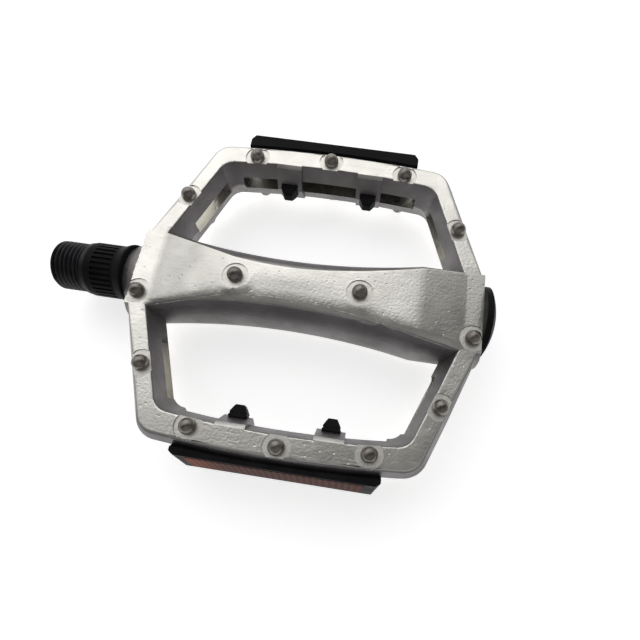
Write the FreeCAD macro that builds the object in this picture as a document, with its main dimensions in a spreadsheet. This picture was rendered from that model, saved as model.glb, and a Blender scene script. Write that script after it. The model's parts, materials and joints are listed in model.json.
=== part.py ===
"""A cast platform pedal on a threaded spindle, with grip studs and clip-in reflectors.

Millimetres. The origin is on the spindle's axis at the shoulder that seats on the crank.
+X runs outboard to the dust cap, +Y to the rear reflector and +Z up.
"""

import FreeCAD
import Part
import Sketcher
import math
import os
import re

# Driving dimensions, each written once.
DIMENSIONS = {
    # spindle
    "thread_radius": 7.14,
    "thread_length": 9.2,
    "thread_chamfer": 0.6,
    "collar_radius": 7.6,
    "collar_width": 1.2,
    "shank_radius": 5.0,
    "journal_radius": 3.0,
    "hex_across": 8.0,
    "hex_depth": 6.0,
    "spindle_tail": 1.2,
    # cage outline, measured from the cage's own centre
    "half_height": 7.0,
    "end_half": 49.0,
    "end_flat": 9.5,
    "corner_x": 35.3,
    "front_y": 45.0,
    "front_bow": 1.7,
    "front_rail": 6.0,
    "side_rail": 4.9,
    "end_rail": 5.0,
    "inner_lean": 2.6,
    "corner_round": 6.0,
    "inner_round": 5.0,
    "end_round": 4.0,
    "rail_edge": 0.6,
    # windows in the walls
    "window_half": 2.3,
    "window_curve": 3.7,
    "window_end": 27.5,
    "prong_x": 12.6,
    "boss_half": 3.9,
    "boss_proud": 1.3,
    "side_window_low": 16.5,
    "side_window_high": 35.0,
    # barrel
    "hub_face": 12.6,
    "hub_reach": 3.5,
    "hub_radius": 8.7,
    "hub_flare": 5.2,
    "shoulder_radius": 13.6,
    "waist_radius": 10.2,
    "crest_height": 9.2,
    "left_ramp": 21.9,
    "right_ramp": 12.6,
    "ramp_break": 16.0,
    "crest_round": 0.6,
    # bearings
    "bush_radius": 5.9,
    "bush_length": 10.0,
    "spigot_length": 8.0,
    "seal_width": 1.6,
    "main_bore": 5.6,
    "end_bore": 6.2,
    "running_gap": 0.05,
    "free_gap": 0.3,
    "bearing_inset": 14.6,
    "bearing_width": 4.0,
    "bearing_radius": 6.0,
    "inner_ring_radius": 3.8,
    "outer_ring_bore": 5.2,
    "ball_count": 9,
    "washer_radius": 5.2,
    "washer_thick": 1.0,
    "nut_across": 10.0,
    "nut_height": 4.0,
    # sleeve and dust cap
    "sleeve_radius": 7.9,
    "flute_start": 3.4,
    "flute_length": 5.9,
    "flute_depth": 0.55,
    "flute_half": 0.34,
    "flute_count": 32,
    "flange_radius": 8.7,
    "flange_width": 0.5,
    "flange_taper": 2.2,
    "cap_radius": 10.5,
    "cap_rim": 1.7,
    "cap_dome": 2.9,
    "cap_recess": 0.2,
    "cap_plug_wall": 1.2,
    "cap_plug_length": 4.0,
    # studs
    "stud_radius": 2.15,
    "stud_height": 2.7,
    "stud_side": 0.7,
    "shank_stud_radius": 1.2,
    "shank_stud_depth": 1.5,
    "spot_radius": 3.7,
    "spot_depth": 0.25,
    "row_stud_x": 22.9,
    "row_stud_inset": 3.1,
    "front_side_y": 27.7,
    "rear_side_y": 25.1,
    "axle_stud_y": 7.7,
    "barrel_stud_half": 17.3,
    "barrel_stud_shift": -2.6,
    # reflectors
    "reflector_half": 27.3,
    "reflector_depth": 5.1,
    "reflector_top": 2.6,
    "reflector_nose": 1.4,
    "reflector_taper": 3.2,
    "reflector_side": 1.8,
    "reflector_half_height": 6.3,
    "lens_border": 0.7,
    "lens_end": 1.8,
    "lens_depth": 1.6,
    "lens_gap": 0.1,
    "prong_half": 2.3,
    "prong_half_height": 1.8,
    "prong_reach": 13.0,
    "prong_tip_half": 1.3,
    "prong_gap": 0.1,
}

# Places that follow from the driving dimensions, as further cells of the sheet.
DERIVED = {
    "cage_centre": "hub_face + hub_reach + end_half",
    "left_crest_x": "hub_face + hub_reach + end_rail + left_ramp",
    "right_crest_x": "cage_centre + end_half - end_rail - right_ramp",
    "bearing_x": "cage_centre + end_half - bearing_inset",
}

OVERCUT = 1.0
FULL_TURN = 360
TOUCH = 0.01
STEEP = 0.9
THROUGH = "(4 * (cage_centre + end_half))"
SLANT = "((end_half - corner_x) / (front_y - end_flat))"
SIDE_ACROSS = f"(side_rail * sqrt(1 + {SLANT}^2))"
INNER_FRONT = "(front_y - front_rail)"
INNER_LEFT = "(cage_centre - end_half + end_rail)"
INNER_RIGHT = "(cage_centre + end_half - end_rail)"
OUTER_END = "(cage_centre + end_half)"
REFLECTOR_BACK = "(front_y + front_bow)"
LENS_BACK = "(lens_depth - front_y - front_bow - reflector_top)"
LENS_HALF = "(reflector_half - reflector_taper - lens_end)"
LENS_HALF_HEIGHT = "(reflector_half_height - lens_border)"
BUSH_START = "(hub_face + spigot_length + seal_width)"
WASHER_START = "(bearing_x + bearing_width)"
NUT_START = f"({WASHER_START} + washer_thick)"
SPINDLE_END = f"({NUT_START} + nut_height + spindle_tail)"

doc = FreeCAD.newDocument("pedal")
sheet = doc.addObject("Spreadsheet::Sheet", "Dims")
nodes = []


def fill_sheet():
    """Writes each driving and each derived dimension to the sheet, with its alias."""
    cells = {alias: str(number) for alias, number in DIMENSIONS.items()}
    cells.update({alias: f"={text}" for alias, text in DERIVED.items()})
    for row, (alias, content) in enumerate(cells.items(), start=1):
        sheet.set(f"A{row}", alias)
        sheet.set(f"B{row}", content)
        sheet.setAlias(f"B{row}", alias)
    doc.recompute()


def formula(text):
    """Turns plain dimension words into references to the sheet's cells."""
    known = DIMENSIONS.keys() | DERIVED.keys()
    return re.sub(r"[a-z]\w*", lambda word: f"Dims.{word[0]}" if word[0] in known else word[0], text)


def value(text):
    """The present value of a formula."""
    return float(sheet.evalExpression(formula(text)))


def bind(item, prop, text):
    """Binds an object's property to a formula."""
    item.setExpression(prop, formula(text))


def keep(item, label):
    """Lists a finished sub-part under its node name."""
    item.Label = label
    nodes.append(item)
    return item


def new_body(label):
    """A new body that becomes the sub-part of that name."""
    return keep(doc.addObject("PartDesign::Body", label), label)


def plane(body, role):
    """One of the body's own origin planes or axes."""
    return next(item for item in body.Origin.OriginFeatures if item.Role == role)


def new_sketch(body, role, lift=None):
    """A sketch on an origin plane, lifted along its normal by a formula."""
    sketch = body.newObject("Sketcher::SketchObject", "Sketch")
    sketch.AttachmentSupport = (plane(body, role), [""])
    sketch.MapMode = "FlatFace"
    if lift:
        bind(sketch, "AttachmentOffset.Base.z", lift)
    return sketch


def pin_point(sketch, edge, end, corner):
    """Ties a vertex of the sketch to its two coordinate formulas."""
    for kind, axis, text in (("DistanceX", -2, corner[0]), ("DistanceY", -1, corner[1])):
        if text == "0":
            sketch.addConstraint(Sketcher.Constraint("PointOnObject", edge, end, axis))
            continue
        number = sketch.addConstraint(Sketcher.Constraint(kind, -1, 1, edge, end, value(text)))
        bind(sketch, f"Constraints[{number}]", text)


def arc_between(first, last, radius, hollow):
    """The short arc from first to last that bulges to the right of the way, or to the left if hollow."""
    chord = last - first
    middle = (first + last) * 0.5
    left = FreeCAD.Vector(-chord.y, chord.x, 0).normalize()
    reach = math.sqrt(radius ** 2 - (chord.Length / 2) ** 2)
    centre = middle - left * reach if hollow else middle + left * reach
    start, end = (last, first) if hollow else (first, last)
    circle = Part.Circle(centre, FreeCAD.Vector(0, 0, 1), radius)
    turn = [math.atan2(point.y - centre.y, point.x - centre.x) for point in (start, end)]
    return Part.ArcOfCircle(circle, turn[0], turn[1])


def add_loop(sketch, corners, arcs=None):
    """Adds a closed outline of lines, and of arcs where an edge's number has (radius, hollow)."""
    arcs = arcs or {}
    points = [FreeCAD.Vector(value(x), value(y), 0) for x, y in corners]
    ends = []
    for number, first in enumerate(points):
        last = points[(number + 1) % len(points)]
        if number in arcs:
            radius, hollow = arcs[number]
            edge = sketch.addGeometry(arc_between(first, last, value(radius), hollow), False)
            tied = sketch.addConstraint(Sketcher.Constraint("Radius", edge, value(radius)))
            bind(sketch, f"Constraints[{tied}]", radius)
            ends.append((edge, 2, 1) if hollow else (edge, 1, 2))
        else:
            ends.append((sketch.addGeometry(Part.LineSegment(first, last), False), 1, 2))
    for number, (edge, start, _) in enumerate(ends):
        before, _, end = ends[number - 1]
        sketch.addConstraint(Sketcher.Constraint("Coincident", before, end, edge, start))
        pin_point(sketch, edge, start, corners[number])


def add_circle(sketch, x, y, radius):
    """Adds a circle at two coordinate formulas."""
    middle = FreeCAD.Vector(value(x), value(y), 0)
    edge = sketch.addGeometry(Part.Circle(middle, FreeCAD.Vector(0, 0, 1), value(radius)), False)
    tied = sketch.addConstraint(Sketcher.Constraint("Radius", edge, value(radius)))
    bind(sketch, f"Constraints[{tied}]", radius)
    pin_point(sketch, edge, 3, (x, y))


def rectangle(left, low, right, high):
    """The corners of an upright rectangle."""
    return [(left, low), (right, low), (right, high), (left, high)]


def feature(body, kind, sketch, **formulas):
    """Adds a sketch-based feature with its lengths bound to formulas."""
    item = body.newObject(f"PartDesign::{kind}", kind)
    item.Profile = sketch
    for prop, text in formulas.items():
        bind(item, prop, text)
    return item


def pad_both_ways(body, sketch, length):
    """Pads a sketch evenly to both sides of its plane."""
    item = feature(body, "Pad", sketch, Length=length)
    item.Midplane = True
    doc.recompute()
    return item


def cut_both_ways(body, sketch, length):
    """Cuts a sketch evenly to both sides of its plane."""
    item = feature(body, "Pocket", sketch, Length=length)
    item.Midplane = True
    doc.recompute()
    return item


def turn_about_x(body, corners, arcs=None, kind="Revolution"):
    """Revolves a profile given in X and radius about the spindle's axis."""
    sketch = new_sketch(body, "XZ_Plane")
    add_loop(sketch, corners, arcs)
    item = feature(body, kind, sketch)
    item.ReferenceAxis = (sketch, ["H_Axis"])
    item.Angle = FULL_TURN
    doc.recompute()
    return item


def round_edges(body, base, chosen, radius):
    """Rounds the edges of a feature that the test picks."""
    picked = [f"Edge{n}" for n, edge in enumerate(base.Shape.Edges, start=1) if chosen(edge)]
    item = body.newObject("PartDesign::Fillet", "Fillet")
    item.Base = (base, picked)
    bind(item, "Radius", radius)
    doc.recompute()
    return item


def upright_at(edge, distance):
    """True for a straight edge along Z at that distance from the spindle's axis in plan."""
    box = edge.BoundBox
    straight = box.XLength < TOUCH and box.YLength < TOUCH and box.ZLength > TOUCH
    return straight and abs(abs(edge.CenterOfMass.y) - value(distance)) < TOUCH


def bow_radius(half_chord):
    """The radius of the front edge's bow over that half chord."""
    return f"(({half_chord})^2 + front_bow^2) / (2 * front_bow)"


def cage_ring(end_x, end_y, corner_x, corner_y):
    """The eight corners of a cage outline, anticlockwise, and its two bowed edges."""
    right = f"cage_centre + {end_x}"
    left = f"cage_centre - {end_x}"
    right_corner = f"cage_centre + {corner_x}"
    left_corner = f"cage_centre - {corner_x}"
    corners = [
        (right, f"-{end_y}"), (right, end_y), (right_corner, corner_y), (left_corner, corner_y),
        (left, end_y), (left, f"-{end_y}"), (left_corner, f"-{corner_y}"), (right_corner, f"-{corner_y}"),
    ]
    bow = (bow_radius(corner_x), False)
    return corners, {2: bow, 6: bow}


def stud_places():
    """Where the upper face's studs stand, by group, as X and Y formulas."""
    row_y = "(front_y - row_stud_inset)"
    middle_y = "(front_y + front_bow - row_stud_inset)"
    end_x = "(end_half - end_rail / 2)"
    row = [("cage_centre", middle_y)]
    row += [(f"cage_centre {sx} row_stud_x", row_y) for sx in "+-"]
    sides = []
    for away, y in (("front_side_y", "-front_side_y"), ("rear_side_y", "rear_side_y")):
        side_x = f"(end_half - {SLANT} * ({away} - end_flat) - {SIDE_ACROSS} / 2)"
        sides += [(f"cage_centre {sx} {side_x}", y) for sx in "+-"]
    axle = [(f"cage_centre {sx} {end_x}", "-axle_stud_y") for sx in "+-"]
    return {
        "front_studs": [(x, f"-{y}") for x, y in row],
        "rear_studs": row,
        "side_studs": sides + axle,
    }


def barrel_stud_places():
    """Where the studs on the barrel stand."""
    return [(f"cage_centre + barrel_stud_shift {sign} barrel_stud_half", "0") for sign in "+-"]


def add_cage(body):
    """The octagonal ring of rails, with bowed front and rear."""
    sketch = new_sketch(body, "XY_Plane")
    corners, bows = cage_ring("end_half", "end_flat", "corner_x", "front_y")
    add_loop(sketch, corners, bows)
    ring = pad_both_ways(body, sketch, "2 * half_height")
    ring = round_edges(body, ring, lambda edge: upright_at(edge, "front_y"), "corner_round")
    ring = round_edges(body, ring, lambda edge: upright_at(edge, "end_flat"), "end_round")
    ring = cut_inside(body)
    ring = round_edges(body, ring, leaning_corner, "inner_round")
    level = value("half_height")
    round_edges(body, ring, lambda edge: abs(abs(edge.CenterOfMass.z) - level) < TOUCH, "rail_edge")


def cut_inside(body):
    """Opens the ring, narrowest at mid-height, where the casting's two halves meet."""
    sketch = new_sketch(body, "XY_Plane")
    front = "(front_rail + inner_lean)"
    side = f"((side_rail + inner_lean) * sqrt(1 + {SLANT}^2))"
    end = "(end_rail + inner_lean)"
    corners, bows = cage_ring(f"(end_half - {end})", f"(end_flat + ({end} - {side}) / {SLANT})",
                              f"(corner_x + {SLANT} * {front} - {side})", f"(front_y - {front})")
    add_loop(sketch, corners, bows)
    for upwards in (False, True):
        half = feature(body, "Pocket", sketch, Length=f"half_height + {OVERCUT}",
                       TaperAngle="atan(inner_lean / half_height)")
        half.Reversed = upwards
        doc.recompute()
    return half


def leaning_corner(edge):
    """True for an inner corner of the ring, from mid-height to a face, at the front or rear wall."""
    box = edge.BoundBox
    near_wall = abs(edge.CenterOfMass.y) > value("front_y - 2 * front_rail")
    return near_wall and abs(box.ZLength - value("half_height")) < TOUCH and box.YLength > TOUCH


def add_bosses(body):
    """The four blocks inside the walls that take the reflectors' prongs, flush with both faces."""
    top = f"({INNER_FRONT} + front_bow - boss_proud)"
    root = f"{INNER_FRONT} + front_rail / 2"
    upper = [(top, "half_height - rail_edge"), (f"{top} + rail_edge", "half_height"), (root, "half_height")]
    lower = [(y, f"-({z})") for y, z in reversed(upper)]
    profile = [(f"({top} - inner_lean)", "0")] + upper + lower
    for side in "+-":
        sketch = new_sketch(body, "YZ_Plane", f"cage_centre {side} prong_x")
        add_loop(sketch, profile)
        add_loop(sketch, [(f"-({y})", z) for y, z in profile])
        pad_both_ways(body, sketch, "2 * boss_half")


def add_windows(body):
    """Windows through the front and rear walls, the prongs' slots, and windows through the slanted walls."""
    sketch = new_sketch(body, "XZ_Plane")
    between = "(prong_x - boss_half)"
    beyond = "(prong_x + boss_half)"
    spans = [("-window_end", f"-{beyond}"), (f"-{between}", between), (beyond, "window_end")]
    for low, high in spans:
        add_loop(sketch, rectangle(f"cage_centre + {low}", "-window_half",
                                   f"cage_centre + {high}", "window_half"))
    for side in "+-":
        middle = f"cage_centre {side} prong_x"
        add_loop(sketch, rectangle(f"{middle} - prong_half - prong_gap", "-prong_half_height - prong_gap",
                                   f"{middle} + prong_half + prong_gap", "prong_half_height + prong_gap"))
    cut_both_ways(body, sketch, THROUGH)
    sketch = new_sketch(body, "YZ_Plane")
    near = "(side_window_low + window_half)"
    rounded = {2: ("window_curve", False)}
    outline = [("side_window_high", "-window_half"), ("side_window_high", "window_half"),
               (near, "window_half"), (near, "-window_half")]
    add_loop(sketch, outline, rounded)
    add_loop(sketch, [(f"-{y}", f"-({z})") for y, z in outline], rounded)
    cut_both_ways(body, sketch, THROUGH)


def add_barrel(body):
    """The hourglass barrel from the hub to the outer end, with ramps down to the rails."""
    sag = "(shoulder_radius - waist_radius)"
    waist = f"(((right_crest_x - {INNER_LEFT})^2 / 4 + {sag}^2) / (2 * {sag}))"
    turn_about_x(body, [
        ("hub_face", "0"), (OUTER_END, "0"), (OUTER_END, "shoulder_radius"),
        ("right_crest_x", "shoulder_radius"), (INNER_LEFT, "shoulder_radius"),
        ("cage_centre - end_half", "shoulder_radius"), ("hub_face", "hub_radius"),
    ], {3: (waist, True), 5: ("hub_flare", True)})
    cut = cut_crest(body)
    round_edges(body, cut, lambda edge: crest_edge(cut.Shape, edge), "crest_round")


def cut_crest(body):
    """Planes the barrel's top and bottom to a flat crest, with ramps down to the rails and soft breaks."""
    sketch = new_sketch(body, "XZ_Plane")
    above = "(2 * shoulder_radius)"
    past_left = f"(hub_face - {OVERCUT})"
    past_right = f"({OUTER_END} + {OVERCUT})"
    fall = "(crest_height - half_height)"
    left_turn = f"atan({fall} / left_ramp)"
    right_turn = f"atan({fall} / right_ramp)"
    left_run = f"(ramp_break * tan({left_turn} / 2))"
    right_run = f"(ramp_break * tan({right_turn} / 2))"
    left_low = f"(crest_height - {left_run} * sin({left_turn}))"
    right_low = f"(crest_height - {right_run} * sin({right_turn}))"
    crest = [
        (past_left, "half_height"), (INNER_LEFT, "half_height"),
        (f"left_crest_x - {left_run} * cos({left_turn})", left_low),
        (f"left_crest_x + {left_run}", "crest_height"), (f"right_crest_x - {right_run}", "crest_height"),
        (f"right_crest_x + {right_run} * cos({right_turn})", right_low),
        (INNER_RIGHT, "half_height"), (past_right, "half_height"), (past_right, above), (past_left, above),
    ]
    breaks = ("ramp_break", True)
    add_loop(sketch, crest, {2: breaks, 4: breaks})
    add_loop(sketch, [(x, f"-{z}") for x, z in reversed(crest)], {4: breaks, 6: breaks})
    return cut_both_ways(body, sketch, THROUGH)


def crest_edge(shape, edge):
    """True for an edge where the barrel's round side meets its crest or a ramp."""
    box = edge.BoundBox
    low = min(abs(box.ZMin), abs(box.ZMax))
    high = max(abs(box.ZMin), abs(box.ZMax))
    on_top = low > value("half_height") - TOUCH and high > value("half_height") + TOUCH
    sides = shape.ancestorsOfType(edge, Part.Face)
    turned = [face for face in sides if abs(face.normalAt(*middle_of(face)).z) < STEEP]
    return on_top and len(turned) == 1


def middle_of(face):
    """The middle of a face's parameter range."""
    first_u, last_u, first_v, last_v = face.ParameterRange
    return (first_u + last_u) / 2, (first_v + last_v) / 2


def add_bore(body):
    """The stepped bore for the spigot, seal, bush, bearing and dust cap."""
    bush_end = f"({BUSH_START} + bush_length)"
    past_end = f"{OUTER_END} + {OVERCUT}"
    turn_about_x(body, [
        (f"hub_face - {OVERCUT}", "0"), (past_end, "0"), (past_end, "end_bore"),
        (WASHER_START, "end_bore"), (WASHER_START, "bearing_radius"),
        ("bearing_x", "bearing_radius"), ("bearing_x", "main_bore"), (bush_end, "main_bore"),
        (bush_end, "bush_radius"), (f"hub_face - {OVERCUT}", "bush_radius"),
    ], kind="Groove")


def add_stud_seats(body):
    """Spot faces and blind holes for the studs on the upper face, then turned to the lower one."""
    seats = []
    rail_places = [place for group in stud_places().values() for place in group]
    for level, places in (("half_height", rail_places), ("crest_height", barrel_stud_places())):
        for radius, depth in (("spot_radius", "spot_depth"),
                              ("shank_stud_radius", "spot_depth + shank_stud_depth")):
            sketch = new_sketch(body, "XY_Plane", f"{level} + spot_depth")
            for x, y in places:
                add_circle(sketch, x, y, radius)
            seats.append(feature(body, "Pocket", sketch, Length=f"{depth} + spot_depth"))
            doc.recompute()
    turned = body.newObject("PartDesign::PolarPattern", "TurnedSeats")
    turned.Originals = seats
    turned.Axis = (plane(body, "X_Axis"), [""])
    turned.Angle = FULL_TURN
    turned.Occurrences = 2
    body.Tip = turned
    doc.recompute()


def make_platform():
    """The cast cage and barrel, one piece."""
    body = new_body("platform_body")
    add_cage(body)
    add_bosses(body)
    add_windows(body)
    add_barrel(body)
    add_bore(body)
    add_stud_seats(body)


def make_spindle():
    """The crank spindle: thread blank, collar, shank and journal, with a hex socket in the thread's end."""
    body = new_body("spindle")
    turn_about_x(body, [
        ("-thread_length", "0"), (SPINDLE_END, "0"), (SPINDLE_END, "journal_radius"),
        ("bearing_x", "journal_radius"), ("bearing_x", "shank_radius"),
        ("collar_width", "shank_radius"), ("collar_width", "collar_radius"), ("0", "collar_radius"),
        ("0", "thread_radius"), ("-thread_length + thread_chamfer", "thread_radius"),
        ("-thread_length", "thread_radius - thread_chamfer"),
    ])
    sketch = new_sketch(body, "YZ_Plane", "-thread_length")
    corner = "(hex_across / sqrt(3))"
    flat = "(hex_across / 2)"
    half = "(hex_across / (2 * sqrt(3)))"
    add_loop(sketch, [("0", corner), (f"-{flat}", half), (f"-{flat}", f"-{half}"), ("0", f"-{corner}"),
                      (flat, f"-{half}"), (flat, half)])
    socket = feature(body, "Pocket", sketch, Length="hex_depth")
    socket.Reversed = True
    doc.recompute()


def make_sleeve():
    """The fluted lock sleeve on the inboard end, screwed into the hub."""
    body = new_body("lock_sleeve")
    start = "(collar_width + free_gap)"
    bore = "(shank_radius + free_gap)"
    flange = "(hub_face - flange_width)"
    turn_about_x(body, [
        (start, bore), ("hub_face + spigot_length", bore), ("hub_face + spigot_length", "bush_radius"),
        ("hub_face", "bush_radius"), ("hub_face", "flange_radius"), (flange, "flange_radius"),
        (f"{flange} - flange_taper", "sleeve_radius"), (start, "sleeve_radius"),
    ])
    sketch = new_sketch(body, "YZ_Plane", "flute_start")
    floor = "(sleeve_radius - flute_depth)"
    past = f"(sleeve_radius + {OVERCUT})"
    add_loop(sketch, rectangle("-flute_half", floor, "flute_half", past))
    flute = feature(body, "Pocket", sketch, Length="flute_length")
    flute.Reversed = True
    doc.recompute()
    pattern = body.newObject("PartDesign::PolarPattern", "Flutes")
    pattern.Originals = [flute]
    pattern.Axis = (plane(body, "X_Axis"), [""])
    pattern.Angle = FULL_TURN
    bind(pattern, "Occurrences", "flute_count")
    body.Tip = pattern
    doc.recompute()


def make_ring(label, start, end, inner, outer):
    """A plain ring on the spindle's axis."""
    body = new_body(label)
    turn_about_x(body, [(start, inner), (end, inner), (end, outer), (start, outer)])


def make_bearings():
    """The inboard seal and bush, and the outboard ball bearing's rings and balls."""
    seal_start = "hub_face + spigot_length"
    make_ring("inboard_seal", seal_start, BUSH_START, "shank_radius + free_gap", "bush_radius")
    make_ring("inboard_bush", BUSH_START, f"{BUSH_START} + bush_length",
              "shank_radius + running_gap", "bush_radius")
    bearing_end = "bearing_x + bearing_width"
    make_ring("bearing_outer_ring", "bearing_x", bearing_end, "outer_ring_bore", "bearing_radius")
    make_ring("bearing_inner_ring", "bearing_x", bearing_end, "journal_radius", "inner_ring_radius")


def make_balls():
    """The bearing's balls as one group of separate solids."""
    pitch = (value("outer_ring_bore") + value("inner_ring_radius")) / 2
    radius = (value("outer_ring_bore") - value("inner_ring_radius")) / 2 - value("running_gap")
    middle = value("bearing_x + bearing_width / 2")
    count = int(value("ball_count"))
    balls = []
    for number in range(count):
        turn = 2 * math.pi * number / count
        centre = FreeCAD.Vector(middle, pitch * math.cos(turn), pitch * math.sin(turn))
        balls.append(Part.makeSphere(radius, centre))
    group = doc.addObject("Part::Feature", "bearing_balls")
    group.Shape = Part.makeCompound(balls)
    keep(group, "bearing_balls")


def make_fasteners():
    """The keyed washer and hex locknut on the spindle's outboard end."""
    make_ring("keyed_washer", WASHER_START, NUT_START, "journal_radius", "washer_radius")
    body = new_body("spindle_locknut")
    sketch = new_sketch(body, "YZ_Plane", NUT_START)
    corner = "(nut_across / sqrt(3))"
    flat = "(nut_across / 2)"
    half = "(nut_across / (2 * sqrt(3)))"
    add_loop(sketch, [("0", corner), (f"-{flat}", half), (f"-{flat}", f"-{half}"), ("0", f"-{corner}"),
                      (flat, f"-{half}"), (flat, half)])
    add_circle(sketch, "0", "0", "journal_radius")
    feature(body, "Pad", sketch, Length="nut_height")
    doc.recompute()


def make_dust_cap():
    """The domed dust cap with its hollow plug."""
    body = new_body("dust_cap")
    rim = f"({OUTER_END} + cap_rim)"
    dome = "((cap_radius^2 + cap_dome^2) / (2 * cap_dome))"
    plug = "(end_bore - cap_plug_wall)"
    plug_end = f"({OUTER_END} - cap_plug_length)"
    recess = f"({OUTER_END} + cap_recess)"
    turn_about_x(body, [
        (recess, "0"), (f"{rim} + cap_dome", "0"), (rim, "cap_radius"), (OUTER_END, "cap_radius"),
        (OUTER_END, "end_bore"), (plug_end, "end_bore"), (plug_end, plug), (recess, plug),
    ], {1: (dome, False)})


def stud_solid():
    """One stud standing on its spot face at the origin: shank, side and dome."""
    radius = value("stud_radius")
    side = value("stud_side")
    top = value("stud_height")
    shank = value("shank_stud_radius")
    depth = value("shank_stud_depth")
    rise = top - side
    ball = (radius ** 2 + rise ** 2) / (2 * rise)
    half_turn = math.asin(radius / ball) / 2
    middle = FreeCAD.Vector(ball * math.sin(half_turn), 0, top - ball + ball * math.cos(half_turn))
    dome = Part.Arc(FreeCAD.Vector(radius, 0, side), middle, FreeCAD.Vector(0, 0, top)).toShape()
    path = [(0, top), (0, -depth), (shank, -depth), (shank, 0), (radius, 0), (radius, side)]
    corners = [FreeCAD.Vector(x, 0, z) for x, z in path]
    lines = [Part.makeLine(a, b) for a, b in zip(corners, corners[1:])]
    profile = Part.Face(Part.Wire(lines + [dome]))
    return profile.revolve(FreeCAD.Vector(0, 0, 0), FreeCAD.Vector(0, 0, 1), FULL_TURN)


def make_stud_group(label, places, level, turned):
    """A group of studs on the upper face, or turned about the spindle's axis to the lower one."""
    master = stud_solid()
    studs = []
    for x, y in places:
        stud = master.copy()
        stud.translate(FreeCAD.Vector(value(x), value(y), level - value("spot_depth")))
        if turned:
            stud.rotate(FreeCAD.Vector(0, 0, 0), FreeCAD.Vector(1, 0, 0), FULL_TURN / 2)
        studs.append(stud)
    group = doc.addObject("Part::Feature", label)
    group.Shape = Part.makeCompound(studs)
    keep(group, label)


def make_studs():
    """The grip studs of both faces."""
    for face, turned in (("upper", False), ("lower", True)):
        for name, places in stud_places().items():
            make_stud_group(f"{face}_{name}", places, value("half_height"), turned)
        make_stud_group(f"{face}_barrel_studs", barrel_stud_places(), value("crest_height"), turned)


def turn_round(item):
    """Turns a front piece half round the cage's upright centre line, to the rear."""
    turn = FreeCAD.Rotation(FreeCAD.Vector(0, 0, 1), FULL_TURN / 2)
    item.Placement = FreeCAD.Placement(FreeCAD.Vector(0, 0, 0), turn)
    bind(item, "Placement.Base.x", "2 * cage_centre")


def make_housing(label, rear):
    """A reflector's wedge-nosed housing, with a pocket for its lens and two barbed prongs."""
    body = new_body(label)
    back = f"-{REFLECTOR_BACK}"
    front = f"-({REFLECTOR_BACK} + reflector_depth)"
    brow = f"-({REFLECTOR_BACK} + reflector_top)"
    sketch = new_sketch(body, "YZ_Plane", "cage_centre")
    upper = [(back, "reflector_half_height"), (brow, "reflector_half_height"), (front, "reflector_nose")]
    add_loop(sketch, upper + [(y, f"-{z}") for y, z in reversed(upper)])
    pad_both_ways(body, sketch, "2 * reflector_half")
    sketch = new_sketch(body, "XY_Plane")
    past = f"{front} - {OVERCUT}"
    taper = "reflector_taper / (reflector_depth - reflector_side)"
    for side, inward in ("+-", "-+"):
        end = f"cage_centre {side} reflector_half"
        inner_end = f"{end} {inward} {taper} * (reflector_depth - reflector_side + {OVERCUT})"
        add_loop(sketch, [(end, f"{back} - reflector_side"), (end, past), (inner_end, past)])
    cut_both_ways(body, sketch, THROUGH)
    sketch = new_sketch(body, "XY_Plane")
    for side in "+-":
        middle = f"cage_centre {side} prong_x"
        reach = f"{back} + prong_reach"
        neck = f"{back} + front_rail + boss_proud + inner_lean"
        root = f"{back} - {OVERCUT}"
        add_loop(sketch, [
            (f"{middle} - prong_half", root), (f"{middle} + prong_half", root),
            (f"{middle} + prong_half", neck), (f"{middle} + prong_tip_half", reach),
            (f"{middle} - prong_tip_half", reach), (f"{middle} - prong_half", neck),
        ])
    pad_both_ways(body, sketch, "2 * prong_half_height")
    sketch = new_sketch(body, "XY_Plane")
    add_loop(sketch, rectangle(f"cage_centre - {LENS_HALF}", past, f"cage_centre + {LENS_HALF}", LENS_BACK))
    cut_both_ways(body, sketch, f"2 * {LENS_HALF_HEIGHT}")
    if rear:
        turn_round(body)


def make_lens(label, rear):
    """A reflector's lens, which fills the housing's pocket out to the wedge."""
    body = new_body(label)
    front = f"-({REFLECTOR_BACK} + reflector_depth)"
    edge = f"({LENS_HALF_HEIGHT} - lens_gap)"
    rise = "((reflector_depth - reflector_top) / (reflector_half_height - reflector_nose))"
    brow = f"(-({REFLECTOR_BACK} + reflector_top) - {rise} * (reflector_half_height - {edge}))"
    sketch = new_sketch(body, "YZ_Plane", "cage_centre")
    upper = [(LENS_BACK, edge), (brow, edge), (front, "reflector_nose")]
    add_loop(sketch, upper + [(y, f"-{z}") for y, z in reversed(upper)])
    pad_both_ways(body, sketch, f"2 * ({LENS_HALF} - lens_gap)")
    if rear:
        turn_round(body)


def make_reflectors():
    """The front and rear reflectors."""
    for face, rear in (("front", False), ("rear", True)):
        make_housing(f"{face}_reflector_housing", rear)
        make_lens(f"{face}_reflector_lens", rear)


def check_and_write():
    """Stops on any failed object or unsound shape, then writes each sub-part."""
    doc.recompute()
    failed = [item.Name for item in doc.Objects if {"Invalid", "Error"} & set(item.State)]
    unsound = [item.Label for item in nodes if item.Shape.isNull() or not item.Shape.isValid()]
    if failed or unsound:
        raise RuntimeError(f"failed objects {failed}, unsound shapes {unsound}")
    os.makedirs("parts", exist_ok=True)
    for item in nodes:
        item.Shape.exportStep(f"parts/{item.Label}.step")
        print(item.Label, len(item.Shape.Solids), round(item.Shape.Volume, 1))


fill_sheet()
make_platform()
make_spindle()
make_sleeve()
make_bearings()
make_balls()
make_fasteners()
make_dust_cap()
make_studs()
make_reflectors()
check_and_write()
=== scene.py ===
"""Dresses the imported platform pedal: cast aluminium cage, threaded black spindle, studs and reflectors.

Metres, in the CAD frame: +X outboard along the spindle, +Y to the rear reflector, +Z up.
"""

import bmesh
import bpy
import json
import math
from mathutils import Matrix, Vector


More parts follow.
